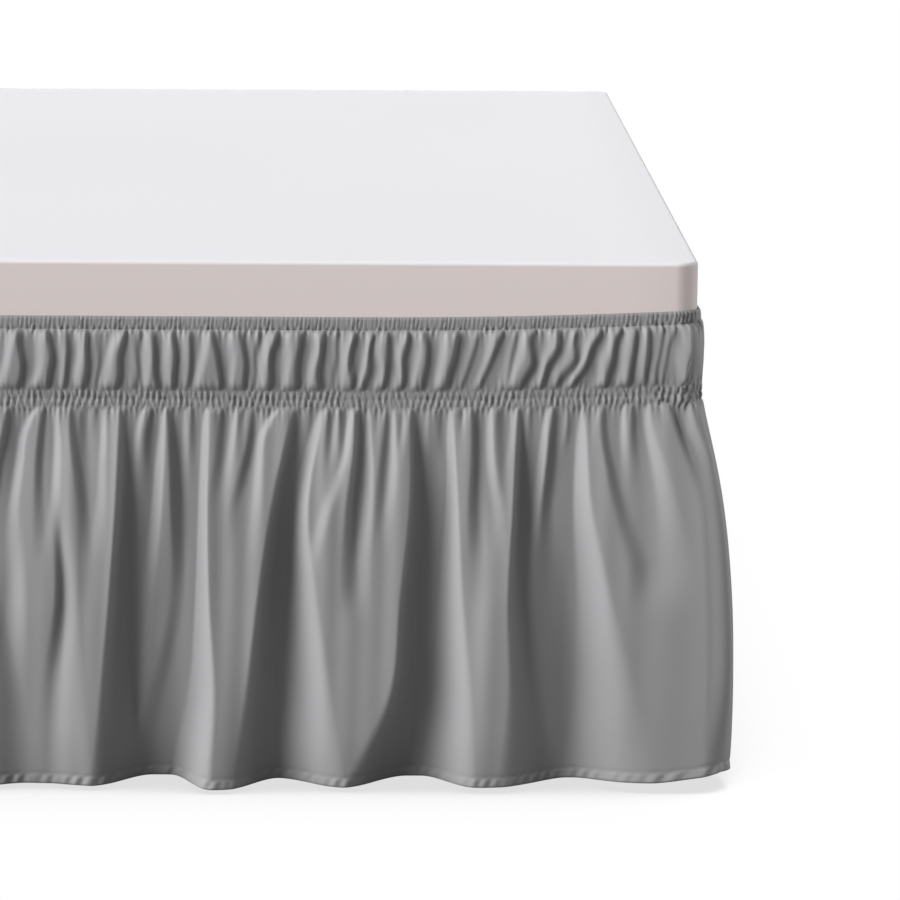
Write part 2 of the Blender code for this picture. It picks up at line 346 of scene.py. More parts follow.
def cloth_strip(name, distances, heights, place, closed=False):
    """A sheet of cloth hung round the bed: a grid whose points place() puts where they hang.

    distances are the columns' places along the outline and heights the rows' run down the
    strip. A closed strip goes all the way round and is joined end to end. The UV map is in
    metres along the cloth, and the cut edges are sharp.
    """
    columns = np.append(distances, distances[0] + OUTLINE_LENGTH) if closed else distances
    grid = bmesh.new()
    bmesh.ops.create_grid(grid, x_segments=len(columns) - 1, y_segments=len(heights) - 1,
                          size=0.5)
    grid.loops.layers.uv.new("cloth")
    mesh = bpy.data.meshes.new(name)
    grid.to_mesh(mesh)
    grid.free()
    flat = np.zeros(len(mesh.vertices) * 3)
    mesh.vertices.foreach_get("co", flat)
    flat = flat.reshape(-1, 3)
    column = np.rint((flat[:, 0] + 0.5) * (len(columns) - 1)).astype(int)
    row = np.rint((0.5 - flat[:, 1]) * (len(heights) - 1)).astype(int)
    along, down = columns[column], heights[row]
    distance, depth, height = place(along, down)
    x, y, out_x, out_y = outline_place(distance)
    square = CORNER_SQUARE * np.clip(1 - (from_corner(distance) - CORNER_ARC / 2) / SQUARE_REACH,
                                     0, 1) ** 2
    out_x += square * (np.sign(x) - out_x)
    out_y += square * (np.sign(y) - out_y)
    points = np.stack((x + out_x * depth, y + out_y * depth, height), axis=1)
    mesh.vertices.foreach_set("co", points.ravel())
    corner_points = np.zeros(len(mesh.loops), dtype=int)
    mesh.loops.foreach_get("vertex_index", corner_points)
    cloth_map = np.stack((along[corner_points], -down[corner_points]), axis=1)
    mesh.uv_layers["cloth"].data.foreach_set("uv", cloth_map.ravel())
    mesh.shade_smooth()
    grid = bmesh.new()
    grid.from_mesh(mesh)
    if closed:
        bmesh.ops.remove_doubles(grid, verts=grid.verts, dist=JOIN_DISTANCE)
    for edge in grid.edges:
        edge.smooth = not edge.is_boundary
    grid.to_mesh(mesh)
    grid.free()
    strip = bpy.data.objects.new(name, mesh)
    bpy.context.scene.collection.objects.link(strip)
    sheet = strip.modifiers.new("sheet thickness", "SOLIDIFY")
    sheet.thickness = CLOTH_THICKNESS
    sheet.offset = -1.0
    return strip


def waves(distance, pitch, seed, count=5, spread=0.35):
    """Uneven ripples along the cloth, mostly within -1 and 1, with crests about a pitch apart."""
    rng = random.Random(seed)
    total = np.zeros_like(distance)
    for _ in range(count):
        length = pitch * (1 + rng.uniform(-spread, spread))
        turns = max(1, round(OUTLINE_LENGTH / length))
        phase = rng.uniform(0, 2 * math.pi)
        total += np.sin(2 * math.pi * turns * distance / OUTLINE_LENGTH + phase)
    return total / math.sqrt(count)


def shirring(along, above, half, reach):
    """Small crossing puckers over a line of stitches: full up to half above or below it."""
    total = np.zeros_like(along)
    for lean, seed in ((-STITCH_SLANT, 5), (0.0, 6), (STITCH_SLANT, 9)):
        total += waves(along + lean * above, STITCH_PITCH, seed=seed, count=4, spread=0.35)
    total *= STITCH_EVEN + STITCH_SWELL * waves(along, 4 * STITCH_PITCH, seed=12)
    beyond = np.maximum(0, np.abs(above) - half)
    return (STITCH_DEPTH * np.clip(0.7 * total, -STITCH_MOST, STITCH_MOST)
            * np.exp(-beyond / reach))


def place_casing(along, down):
    """The casing's rounded channel with slanting puckers, held out by the seam below it."""
    share = down / CASING_HEIGHT
    round_over = np.sqrt(np.maximum(0, 1 - (2 * share - 1) ** 4))
    channel = CASING_BULGE * round_over
    channel = np.where(share > 0.5, np.maximum(channel, CASING_SEAM), channel)
    leaning = along + CASING_SLANT * (share - 0.5)
    pucker = waves(leaning, CASING_PITCH, seed=3, count=4, spread=0.28)
    puckered = CASING_PUCKER_RIM + (1 - CASING_PUCKER_RIM) * round_over
    depth = CASING_GAP + CLOTH_THICKNESS + channel
    depth += CASING_PUCKER * np.clip(pucker, -1.2, 1.2) * puckered
    depth += shirring(along, CASING_HEIGHT - down, SEAM_HALF, SEAM_REACH)
    depth = np.maximum(depth, CLOTH_THICKNESS + CLOTH_CLEAR)
    return along, depth, SKIRT_TOP + corner_lift(along) - down


# Brushed microfibre: a close polyester weave, sueded so that short fibres lie over it. It
# gives a soft matt grey with a little sheen at the folds and very faint patches of shade.
brushed_microfibre, tree, shader = new_finish("brushed microfibre", Roughness=0.62,
                                              Sheen_Weight=0.18, Sheen_Roughness=0.45)
shader.inputs["Specular IOR Level"].default_value = 0.35
cloth_uv = add_node(tree, "ShaderNodeUVMap", uv_map="cloth")
lying = add_node(tree, "ShaderNodeMapping", {"Vector": cloth_uv.outputs["UV"],
                                             "Scale": (1.0, NAP_WIDTH / NAP_LENGTH, 1.0)})
nap = add_node(tree, "ShaderNodeTexNoise", {"Vector": lying.outputs["Vector"],
                                            "Scale": 1 / NAP_WIDTH, "Detail": 3.0})
patches = add_node(tree, "ShaderNodeTexNoise", {"Vector": cloth_uv.outputs["UV"],
                                                "Scale": 1 / SHADE_PATCH, "Detail": 2.0})
shade = add_node(tree, "ShaderNodeMath", {"Value": nap.outputs["Fac"],
                                          "Value_001": patches.outputs["Fac"]},
                 operation="MULTIPLY")
tone = add_node(tree, "ShaderNodeMix", {"Factor_Float": shade.outputs["Value"],
                                        "A_Color": linear(MICROFIBRE),
                                        "B_Color": linear(MICROFIBRE_WORN)}, data_type="RGBA")
fibres = add_node(tree, "ShaderNodeBump", {"Height": nap.outputs["Fac"], "Strength": 0.12,
                                           "Distance": 0.0003})
tree.links.new(tone.outputs["Result"], shader.inputs["Base Color"])
tree.links.new(fibres.outputs["Normal"], shader.inputs["Normal"])

casing = cloth_strip("casing_cloth", round_the_bed(PUCKER_COLUMN),
                     np.linspace(0, CASING_HEIGHT, CASING_ROWS), place_casing, closed=True)
casing.data.materials.append(brushed_microfibre)
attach(casing, "root")
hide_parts("top_casing")


# ---- Heading band --------------------------------------------------------------------------
# The strip between the two elastic lines. Both draw it in, so it stands in short narrow tucks
# that run from one line to the other, some leaning, and pinched into fine puckers at its ends.

HEADING_TOP = 0.4412
HEADING_HEIGHT = 0.0590
HEADING_STAND = 0.0045
HEADING_BULGE = 0.0016
HEADING_ROWS = 20
TUCK_COLUMN = 0.0042

# How far the cloth stands from the mattress at the casing's seam and at the lower elastic.
CASING_DEPTH = CASING_GAP + CLOTH_THICKNESS + CASING_SEAM
SEAM_DEPTH = 0.0052

# A tuck's left wall is soft and its right one steep, both in millimetres. It starts and ends
# just inside the elastic lines, in metres, and wanders a little between them.
TUCK_RISE_RUN = 6.2
TUCK_FALL_RUN = 2.6
TUCK_START = 0.0020
TUCK_END = 0.0043
TUCK_WANDER = 0.0016
TUCK_BENDS = 2.6
WANDER_PITCH = 0.048
PINCH_PITCH = 0.0072
PINCH_DEPTH = 0.0014
PINCH_REACH = 0.0055

# The lower elastic's row of stitches, and how far above and below it the cloth is shirred.
ELASTIC_MIDDLE = 0.3752
SHIRR_HALF = 0.0060
SHIRR_REACH = 0.0030

# The shown tucks, in millimetres along the foot: where each one's left side rises and its
# right side falls at the casing, halfway down and at the lower elastic, and how far it stands.
TUCK_COLUMNS = ("rise_top", "rise_middle", "rise_bottom",
                "fall_top", "fall_middle", "fall_bottom", "stand")
SHOWN_TUCKS = (
    (116, 110, 103, 122, 125, 122, 1.0), (141, 142, 131, 151, 153, 148, 1.0),
    (163, 162, 160, 168, 168, 165, 0.8), (181, 178, 176, 186, 187, 183, 1.0),
    (196, 193, 192, 199, 197, 195, 0.4), (216, 207, 200, 223, 218, 213, 1.0),
    (228, 227, 223, 234, 235, 232, 0.4), (244, 242, 240, 250, 250, 254, 1.0),
    (263, 260, 260, 267, 270, 267, 1.0), (277, 277, 277, 284, 285, 281, 0.7),
    (300, 294, 287, 305, 310, 314, 1.0), (322, 322, 321, 330, 336, 333, 0.9),
    (342, 341, 339, 349, 345, 343, 0.4), (358, 352, 348, 365, 360, 358, 1.1),
    (374, 374, 370, 389, 386, 382, 1.1), (402, 399, 393, 410, 406, 405, 1.1),
    (417, 415, 415, 423, 420, 420, 0.3), (432, 428, 427, 438, 436, 434, 1.0),
    (453, 447, 441, 457, 453, 446, 1.0), (463, 461, 459, 470, 470, 464, 0.9),
    (484, 479, 476, 489, 486, 481, 1.0), (499, 496, 490, 505, 508, 500, 0.9),
    (524, 520, 513, 538, 531, 523, 1.1), (552, 543, 533, 557, 548, 537, 0.5),
    (568, 563, 551, 578, 567, 554, 0.9), (587, 583, 573, 590, 587, 578, 0.5),
    (600, 592, 579, 607, 605, 595, 1.0), (625, 616, 608, 632, 624, 613, 1.0),
    (647, 636, 620, 651, 644, 625, 0.8), (662, 651, 638, 669, 659, 644, 1.0),
    (680, 673, 663, 688, 682, 674, 1.0), (696, 691, 686, 703, 700, 696, 1.0),
    (710, 706, 706, 715, 712, 710, 1.0), (721, 719, 715, 726, 722, 720, 0.6),
    (731, 727, 724, 735, 729, 726, 0.5), (745, 741, 740, 750, 748, 744, 0.9),
)

# Tucks past the shown ones, drawn by chance in millimetres. They start where the flat stretch
# beside the shown corner ends. No tuck or fold reaches as far as the last value.
HIDDEN_TUCK = {"pitch": (14, 24), "width": (7, 12), "ends": 0.7, "lean": 5, "stand": (0.7, 1.1)}
TUCK_SEED = 21
FLAT_SIDE = 60
FARTHEST_WALL = 250


def heading_tucks():
    """Every tuck round the bed, from the foot's first shown one on; places in millimetres."""
    rng = random.Random(TUCK_SEED)
    tucks = [dict(zip(TUCK_COLUMNS, row)) for row in SHOWN_TUCKS]
    end = OUTLINE_LENGTH * 1000 + tucks[0]["rise_middle"] - HIDDEN_TUCK["pitch"][0]
    at = CORNERS[0] * 1000 + FLAT_SIDE
    while at < end:
        lean = rng.uniform(-HIDDEN_TUCK["lean"], HIDDEN_TUCK["lean"])
        width = rng.uniform(*HIDDEN_TUCK["width"])
        end_width = HIDDEN_TUCK["ends"] * width
        tucks.append({"rise_top": at + lean, "rise_middle": at, "rise_bottom": at - lean,
                      "fall_top": at + lean + end_width, "fall_middle": at + width,
                      "fall_bottom": at - lean + end_width,
                      "stand": rng.uniform(*HIDDEN_TUCK["stand"])})
        at += rng.uniform(*HIDDEN_TUCK["pitch"])
    return tucks


def along_levels(values, share):
    """A smooth curve through values at even levels, read at shares from 0 to 1.

    Shares repeat along a grid's rows, so each is worked out once.
    """
    share, where = np.unique(share, return_inverse=True)
    values = np.asarray(values, dtype=float)
    ends = np.array((2 * values[0] - values[1], *values, 2 * values[-1] - values[-2]))
    position = np.clip(share, 0, 1) * (len(values) - 1)
    level = np.minimum(position.astype(int), len(values) - 2)
    t = position - level
    a, b, c, d = (ends[level + step] for step in range(4))
    curve = b + 0.5 * t * (c - a + t * (2 * a - 5 * b + 4 * c - d + t * (3 * (b - c) + d - a)))
    return curve[where]


def ramp(offset):
    """0 to 1 across offsets from -1 to 1, rounded at both ends."""
    return 0.5 + 0.5 * np.sin(np.pi / 2 * np.clip(offset, -1, 1))


def millimetres_past(along, place):
    """How far points along the outline, in metres, are past a place given in millimetres."""
    return outline_gap(along, place / 1000) * 1000


def between(along, left, right, left_run, right_run):
    """1 between two places along the cloth and 0 beyond, with walls of half these widths.

    Cloth farther away is left alone: on the far side of the bed the two distances change sign,
    and not at the same place.
    """
    into = ramp(millimetres_past(along, left) / left_run)
    out = ramp(millimetres_past(along, right) / right_run)
    near = np.abs(millimetres_past(along, (left + right) / 2)) < FARTHEST_WALL
    return np.where(near, into - out, 0)


def place_heading(along, down):
    """Tucks over a nearly flat ground, pinched together at both elastic lines."""
    share = down / HEADING_HEIGHT
    to_line = np.minimum(down, HEADING_HEIGHT - down)
    turned = 2.0 * waves(along, WANDER_PITCH, seed=15)
    bend = TUCK_WANDER * np.sin(TUCK_BENDS * math.pi * share + turned)
    wandering = along + bend * waves(along, WANDER_PITCH, seed=14)
    stand = np.zeros_like(along)
    for tuck in heading_tucks():
        rise, fall = (along_levels([tuck[side + "_" + level]
                                    for level in ("top", "middle", "bottom")], share)
                      for side in ("rise", "fall"))
        stand += tuck["stand"] * between(wandering, rise, fall, TUCK_RISE_RUN, TUCK_FALL_RUN)
    started = 1 - np.exp(-down / TUCK_START)
    started *= 1 - np.exp(-((HEADING_HEIGHT - down) / TUCK_END) ** 2)
    pinch = waves(along, PINCH_PITCH, seed=7, count=4, spread=0.4)
    height = HEADING_TOP - down
    depth = SEAM_DEPTH + started * (HEADING_BULGE * np.sin(np.pi * share) + HEADING_STAND * stand)
    depth += PINCH_DEPTH * pinch * started * np.exp(-to_line / PINCH_REACH)
    depth += (CASING_DEPTH - SEAM_DEPTH) * np.exp(-down / TUCK_START)
    depth += shirring(along, -down, SEAM_HALF, SEAM_REACH)
    depth += shirring(along, height - ELASTIC_MIDDLE, SHIRR_HALF, SHIRR_REACH)
    return along, np.maximum(depth, CLOTH_THICKNESS + CLOTH_CLEAR), height + corner_lift(along)


heading_rows = HEADING_HEIGHT * (0.5 - 0.5 * np.cos(np.linspace(0, math.pi, HEADING_ROWS)))
heading = cloth_strip("heading_cloth", round_the_bed(TUCK_COLUMN), heading_rows,
                      place_heading, closed=True)
heading.data.materials.append(brushed_microfibre)
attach(heading, "root")
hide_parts("heading_band")


# ---- Lower elastic -------------------------------------------------------------------------
# The second narrow elastic, sewn stretched across the back of the cloth. Only its shirring
# shows: small crowded puckers that cross and lean against each other over the stitches.

ELASTIC_TOP = 0.3822
ELASTIC_HEIGHT = 0.0141
ELASTIC_ROWS = 9
ELASTIC_STITCH = 0.0005
ELASTIC_STITCH_HALF = 0.12


def place_elastic(along, down):
    """The middle of the shirring, drawn in a little along its row of stitches."""
    share = down / ELASTIC_HEIGHT
    height = ELASTIC_TOP - down
    depth = SEAM_DEPTH + shirring(along, height - ELASTIC_MIDDLE, SHIRR_HALF, SHIRR_REACH)
    depth -= ELASTIC_STITCH * np.exp(-((share - 0.5) / ELASTIC_STITCH_HALF) ** 2)
    return along, depth, height + corner_lift(along)


elastic = cloth_strip("elastic_shirring", round_the_bed(PUCKER_COLUMN),
                      np.linspace(0, ELASTIC_HEIGHT, ELASTIC_ROWS), place_elastic, closed=True)
elastic.data.materials.append(brushed_microfibre)
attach(elastic, "root")
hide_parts("lower_elastic")


# ---- Drop ----------------------------------------------------------------------------------
# The long panel below the lower elastic. It falls in uneven folds that are narrow and sharp
# above and open towards the hem, which is turned up, stitched and just clears the floor.

DROP_TOP = 0.3681
HEM_CLEARANCE = 0.004
DROP_LENGTH = DROP_TOP - HEM_CLEARANCE
FOLD_START = 0.0032

# How far the cloth stands out where it isn't grooved, in millimetres, at five even levels
# from the elastic to the hem. At a corner it hangs closer: fully so over a flat stretch, then
# less and less over a fade, which is longer on the other sides than on the foot.
FLARE = (1, 21, 31, 38, 39)
CORNER_FLARE = (1, 21, 31, 34, 33)
CORNER_FLAT = 45
CORNER_FADE = 90
SIDE_CORNER_FADE = 320

# The grooves between the shown folds. Each value is in millimetres at the five levels: where
# the left and right walls run, how deep the groove is, and half of each wall's width. A ridge
# on a groove's floor has a cut below 0.
SHOWN_GROOVES = (
    {"left": (95, 88, 92, 102, 103), "right": (169, 168, 169, 166, 166),
     "cut": (0, 2, 8, 11, 10), "left_run": (6, 8, 14, 22, 26), "right_run": (8, 10, 10, 18, 24)},
    {"left": (117, 116, 118, 112, 104), "right": (160, 157, 159, 150, 140),
     "cut": (0, 0, -7, -2, 0), "left_run": (10, 10, 12, 16, 16), "right_run": (5, 5, 5, 12, 14)},
    {"left": (219, 218, 213, 210, 214), "right": (298, 295, 294, 293, 280),
     "cut": (4, 17, 25, 32, 41), "left_run": (4, 6, 8, 14, 29), "right_run": (4, 5, 8, 15, 23)},
    {"left": (257, 251, 241, 233, 212), "right": (264, 269, 269, 250, 231),
     "cut": (-5, -9, -4, -4, 0), "left_run": (4, 6, 8, 9, 10), "right_run": (4, 6, 8, 9, 10)},
    {"left": (384, 366, 355, 349, 344), "right": (406, 388, 389, 394, 394),
     "cut": (4, 19, 28, 32, 33), "left_run": (5, 6, 9, 15, 24), "right_run": (5, 8, 16, 25, 38)},
    {"left": (494, 496, 490, 484, 458), "right": (528, 531, 530, 532, 527),
     "cut": (4, 18, 26, 32, 42), "left_run": (4, 6, 9, 13, 32), "right_run": (4, 6, 13, 20, 29)},
    {"left": (595, 593, 591, 600, 606), "right": (653, 654, 666, 675, 676),
     "cut": (4, 18, 17, 18, 22), "left_run": (4, 5, 8, 16, 33), "right_run": (5, 9, 18, 29, 42)},
    {"left": (612, 612, 625, 628, 632), "right": (653, 654, 666, 675, 676),
     "cut": (0, 0, 7, 10, 8), "left_run": (12, 14, 20, 24, 28), "right_run": (5, 9, 18, 29, 42)},
)

# Smaller dents and ridges in the upper part of the drop, where the gathers open: their left
# and right walls and their cuts, in millimetres, at five uneven levels. They fade out below the
# last level, and the same share of each cut is taken.
UPPER_LEVELS = (0.0, 0.07, 0.15, 0.25, 0.41)
UPPER_FADE = 0.15
GATHER_SHARE = 0.70
UPPER_LEFT_RUN = (3.2, 4.0, 4.6, 6.0, 9.0)
UPPER_RIGHT_RUN = (3.2, 4.2, 5.4, 7.0, 11.0)
UPPER_COLUMNS = ("left", "right", "cut")
SHOWN_GATHERS = (
    ((112, 108, 102, 97, 93), (138, 125, 121, 116, 113), (4, 8, 9, 8, 2)),
    ((145, 142, 140, 140, 141), (155, 157, 157, 155, 148), (5, 7, 7, 5, 1)),
    ((170, 172, 176, 182, 185), (201, 201, 200, 199, 195), (5, 7, 6, 6, 2)),
    ((176, 176, 177, 178, 177), (181, 181, 181, 182, 181), (-3, -1, 0, 0, 0)),
    ((187, 187, 187, 186, 185), (193, 192, 192, 192, 191), (-4, -1, 0, 0, 0)),
    ((239, 233, 231, 229, 226), (249, 243, 242, 240, 239), (-5, -6, -3, 0, 0)),
    ((276, 277, 278, 280, 282), (285, 285, 284, 284, 283), (-4, -4, -2, 0, 0)),
    ((314, 312, 309, 303, 302), (327, 323, 319, 314, 314), (4, 4, 3, 1, 0)),
    ((331, 330, 330, 329, 329), (337, 333, 333, 333, 333), (4, 2, 0, 0, 0)),
    ((342, 341, 335, 325, 321), (366, 351, 348, 347, 343), (5, 7, 6, 3, 0)),
    ((390, 389, 388, 388, 388), (399, 397, 396, 396, 396), (-4, -2, 0, 0, 0)),
    ((415, 413, 411, 409, 407), (421, 420, 419, 418, 416), (4, 5, 2, 0, 0)),
    ((427, 427, 427, 427, 427), (437, 433, 434, 434, 434), (4, 3, 0, 0, 0)),
    ((435, 432, 427, 413, 396), (440, 441, 439, 435, 433), (-3, -3, -4, -5, -3)),
    ((442, 442, 440, 436, 434), (452, 451, 452, 451, 445), (6, 8, 9, 9, 6)),
    ((456, 455, 455, 456, 456), (467, 462, 462, 462, 462), (4, 1, 0, 0, 0)),
    ((470, 468, 465, 462, 460), (475, 475, 475, 471, 460), (3, 4, 4, 3, 0)),
    ((480, 480, 480, 480, 480), (488, 485, 482, 482, 482), (4, 3, 0, 0, 0)),
    ((507, 505, 506, 506, 506), (520, 519, 520, 520, 520), (-5, -3, 0, 0, 0)),
    ((538, 538, 539, 539, 539), (544, 541, 542, 542, 542), (4, 1, 0, 0, 0)),
    ((552, 552, 552, 551, 555), (567, 566, 568, 574, 576), (6, 8, 8, 7, 2)),
    ((574, 575, 578, 578, 578), (588, 588, 583, 580, 580), (4, 2, 1, 0, 0)),
    ((600, 600, 600, 601, 601), (605, 605, 605, 605, 606), (-4, -2, 0, 0, 0)),
    ((621, 618, 615, 611, 607), (629, 626, 624, 620, 617), (-6, -8, -9, -8, -2)),
    ((638, 636, 634, 635, 635), (643, 641, 635, 636, 636), (-4, -3, 0, 0, 0)),
    ((658, 658, 659, 659, 660), (670, 665, 666, 666, 667), (3, 1, 0, 0, 0)),
    ((674, 674, 679, 688, 704), (712, 714, 719, 723, 726), (6, 7, 7, 7, 6)),
    ((692, 692, 693, 693, 694), (702, 701, 702, 701, 702), (-5, -5, -2, 0, 0)),
    ((722, 722, 722, 723, 724), (727, 727, 728, 728, 729), (3, 0, 0, 0, 0)),
    ((733, 737, 741, 744, 746), (749, 748, 754, 758, 761), (5, 7, 4, 0, 0)),
)

# Soft mounds on the shown folds: their places, half widths and heights, at the same five even
# levels as the grooves. The last is the crease at the right-hand corner.
SHOWN_MOUNDS = (
    {"place": (577, 577, 577, 572, 570), "run": (24, 30, 40, 40, 40), "rise": (0, 0, 5, 4, 2)},
    {"place": (306, 306, 306, 306, 306), "run": (20, 24, 30, 36, 45), "rise": (0, 0, 0, 3, 11)},
    {"place": (757, 757, 757, 757, 757), "run": (8, 11, 13, 14, 17), "rise": (0, 3, 4, 4, -1)},
)

# Folds where the foot isn't shown and on the other sides, drawn by chance in millimetres. They
# run from corner to corner, and at last to a little past the foot's middle, and the grooves
# keep clear of both ends of each run.
HIDDEN_GROOVE = {"pitch": (112, 136), "floor": (16, 62), "wander": 9, "cut": (0.85, 1.08)}
HIDDEN_CUT = (4, 18, 27, 33, 43)
HIDDEN_LEFT_RUN = (4, 7, 9, 16, 34)
HIDDEN_RIGHT_RUN = (5, 10, 16, 23, 36)
HIDDEN_DENT = {"run": (9, 12, 14, 16, 18), "rise": (-3, -7, -5, -2, 0)}
DENT_PLACE = (0.45, 0.6)
HIDDEN_GATHER = {"pitch": (17, 27), "width": (9, 15), "lean": 5, "cut": (6, 10),
                 "lasts": (0.2, 1.0)}
FOLD_SEED = 11
END_CLEAR = 58
LAST_HIDDEN = 40

# The deepest that the cloth goes in, in millimetres: under the elastic, how much farther below
# it, over which share of the fall, and how softly the grooves level out there.
DEEPEST = {"start": -1.0, "farther": 1.5, "reach": 0.1, "softness": 3}

# The hem's turned-up band, in metres: it flicks out a little and is stitched along its top. The
# cloth above it curls in, but not at the corners, where the hem rises; its last edge is rolled.
HEM_BAND = 0.011
HEM_FLICK = 0.0012
HEM_CURL = 0.006
HEM_CURL_REACH = 0.055
HEM_RISE = 0.0070
HEM_RISE_REACH = 0.045
HEM_ROLL = 0.0022
HEM_ROLL_REACH = 0.0026
HEM_PUCKER = 0.0006
HEM_PUCKER_SLANT = 0.004
HEM_PITCH = 0.013
HEM_STITCH = 0.0008
HEM_STITCH_HALF = 0.0011
RIPPLE_SLANT = 0.01
RIPPLES = (
    {"pitch": 0.031, "height": 0.0007, "reach": 0.55, "seed": 32},
    {"pitch": 0.060, "height": 0.0007, "reach": 3.00, "seed": 33},
)


def hidden_folds():
    """Grooves, mounds and gathers from the right-hand corner on round to the shown folds."""
    rng = random.Random(FOLD_SEED)
    corners = [corner * 1000 for corner in CORNERS]
    last = OUTLINE_LENGTH * 1000 + LAST_HIDDEN
    grooves, mounds, gathers = [], [], []
    for start, end in zip(corners, corners[1:] + [last]):
        count = round((end - start - 2 * END_CLEAR) / np.mean(HIDDEN_GROOVE["pitch"])) + 1
        pitch = (end - start - 2 * END_CLEAR) / (count - 1)
        for number in range(count):
            place = start + END_CLEAR + pitch * number
            floor = rng.uniform(*HIDDEN_GROOVE["floor"]) / 2
            drift = [rng.uniform(-1, 1) * HIDDEN_GROOVE["wander"] for _ in range(5)]
            depth = rng.uniform(*HIDDEN_GROOVE["cut"])
            grooves.append({"left": [place - floor + step for step in drift],
                            "right": [place + floor + step for step in reversed(drift)],
                            "cut": [cut * depth for cut in HIDDEN_CUT],
                            "left_run": HIDDEN_LEFT_RUN, "right_run": HIDDEN_RIGHT_RUN})
            if number < count - 1:
                middle = place + pitch * rng.uniform(*DENT_PLACE)
                mounds.append({"place": [middle + step / 2 for step in drift], **HIDDEN_DENT})
    at = corners[0] + FLAT_SIDE
    while at < last:
        width = rng.uniform(*HIDDEN_GATHER["width"])
        lean = rng.uniform(-1, 1) * HIDDEN_GATHER["lean"]
        lasts = rng.uniform(*HIDDEN_GATHER["lasts"])
        cut = rng.uniform(*HIDDEN_GATHER["cut"])
        left = [at + lean * level for level in range(5)]
        gathers.append({"left": left, "right": [place + width for place in left],
                        "cut": [cut * lasts ** level for level in range(4)] + [0]})
        at += rng.uniform(*HIDDEN_GATHER["pitch"])
    return grooves, mounds, gathers


def groove_depth(along, share, groove):
    """How far a groove takes the cloth in at shares of its run down the drop."""
    left, right, cut, left_run, right_run = (
        along_levels(groove[key], share)
        for key in ("left", "right", "cut", "left_run", "right_run"))
    return cut * between(along, left, right, left_run, right_run)


def mound(offset):
    """1 at offset 0, falling to 0 at offsets -1 and 1."""
    return 0.5 + 0.5 * np.cos(np.pi * np.clip(offset, -1, 1))


def place_drop(along, down):
    """The drop's folds, the gathers that open under the elastic, and the stitched hem."""
    fall = down / DROP_LENGTH
    grooves, mounds, gathers = hidden_folds()
    grooves += SHOWN_GROOVES
    mounds += SHOWN_MOUNDS
    gathers += [dict(zip(UPPER_COLUMNS, row)) for row in SHOWN_GATHERS]
    fade = np.where(np.abs(outline_gap(along, 0)) < CORNERS[0], CORNER_FADE, SIDE_CORNER_FADE)
    away = ramp(2 * (from_corner(along) * 1000 - CORNER_FLAT) / fade - 1)
    depth = along_levels(CORNER_FLARE, fall) * (1 - away) + along_levels(FLARE, fall) * away
    for groove in grooves:
        depth -= groove_depth(along, fall, groove)
    for swell in mounds:
        place, run, rise = (along_levels(swell[key], fall) for key in ("place", "run", "rise"))
        depth += rise * mound(millimetres_past(along, place) / run)
    upper = np.interp(fall, UPPER_LEVELS, np.linspace(0, 1, len(UPPER_LEVELS)))
    going = 1 - ramp(2 * (fall - UPPER_LEVELS[-1]) / UPPER_FADE - 1)
    for gather in gathers:
        walls = {**gather, "left_run": UPPER_LEFT_RUN, "right_run": UPPER_RIGHT_RUN}
        depth -= GATHER_SHARE * going * groove_depth(along, upper, walls)
    for ripple in RIPPLES:
        swell = waves(along + RIPPLE_SLANT * fall, ripple["pitch"], ripple["seed"])
        depth += 1000 * ripple["height"] * swell * np.exp(-fall / ripple["reach"])
    floor = DEEPEST["start"] - DEEPEST["farther"] * (1 - np.exp(-fall / DEEPEST["reach"]))
    over = depth - floor
    depth = floor + 0.5 * (over + np.sqrt(over ** 2 + DEEPEST["softness"]))
    pinch = waves(along, PINCH_PITCH, seed=8, count=4, spread=0.4)
    depth += 1000 * PINCH_DEPTH * pinch * np.exp(-down / PINCH_REACH)
    depth *= (1 - np.exp(-(down / FOLD_START) ** 2)) / 1000
    above = DROP_TOP - down - ELASTIC_MIDDLE
    depth += SEAM_DEPTH + shirring(along, above, SHIRR_HALF, SHIRR_REACH)
    for turn, reach in ((HEM_CURL * away, HEM_CURL_REACH), (HEM_ROLL, HEM_ROLL_REACH)):
        depth -= turn * np.maximum(0, 1 - (DROP_LENGTH - down) / reach) ** 2
    in_band = np.clip((down - (DROP_LENGTH - HEM_BAND)) / HEM_BAND, 0, 1)
    pucker = waves(along + HEM_PUCKER_SLANT * in_band, HEM_PITCH, seed=41, count=4, spread=0.4)
    depth += HEM_FLICK * in_band + HEM_PUCKER * pucker * np.sin(np.pi * in_band) ** 0.7
    from_stitch = (down - (DROP_LENGTH - HEM_BAND)) / HEM_STITCH_HALF
    depth -= HEM_STITCH * (1 + 0.5 * pucker) * np.exp(-from_stitch ** 2)
    lift = corner_lift(along) + HEM_RISE * mound(from_corner(along) / HEM_RISE_REACH) * fall ** 2
    return along, depth, DROP_TOP + lift - down


# Bands of rows down the drop, by where each starts and how far apart its rows are: they are
# close where the gathers open and at the hem. The rolled edge has a few rows of its own.
DROP_ROWS = ((0, 0.0012), (0.012, 0.0040), (0.060, 0.0080), (0.346, 0.0019))
ROLL_ROWS = 4
roll_start = DROP_LENGTH - HEM_ROLL_REACH
band_ends = [start for start, step in DROP_ROWS[1:]] + [roll_start]
drop_rows = np.concatenate([even_steps(start, end, step)
                            for (start, step), end in zip(DROP_ROWS, band_ends)]
                           + [np.linspace(roll_start, DROP_LENGTH, ROLL_ROWS)])

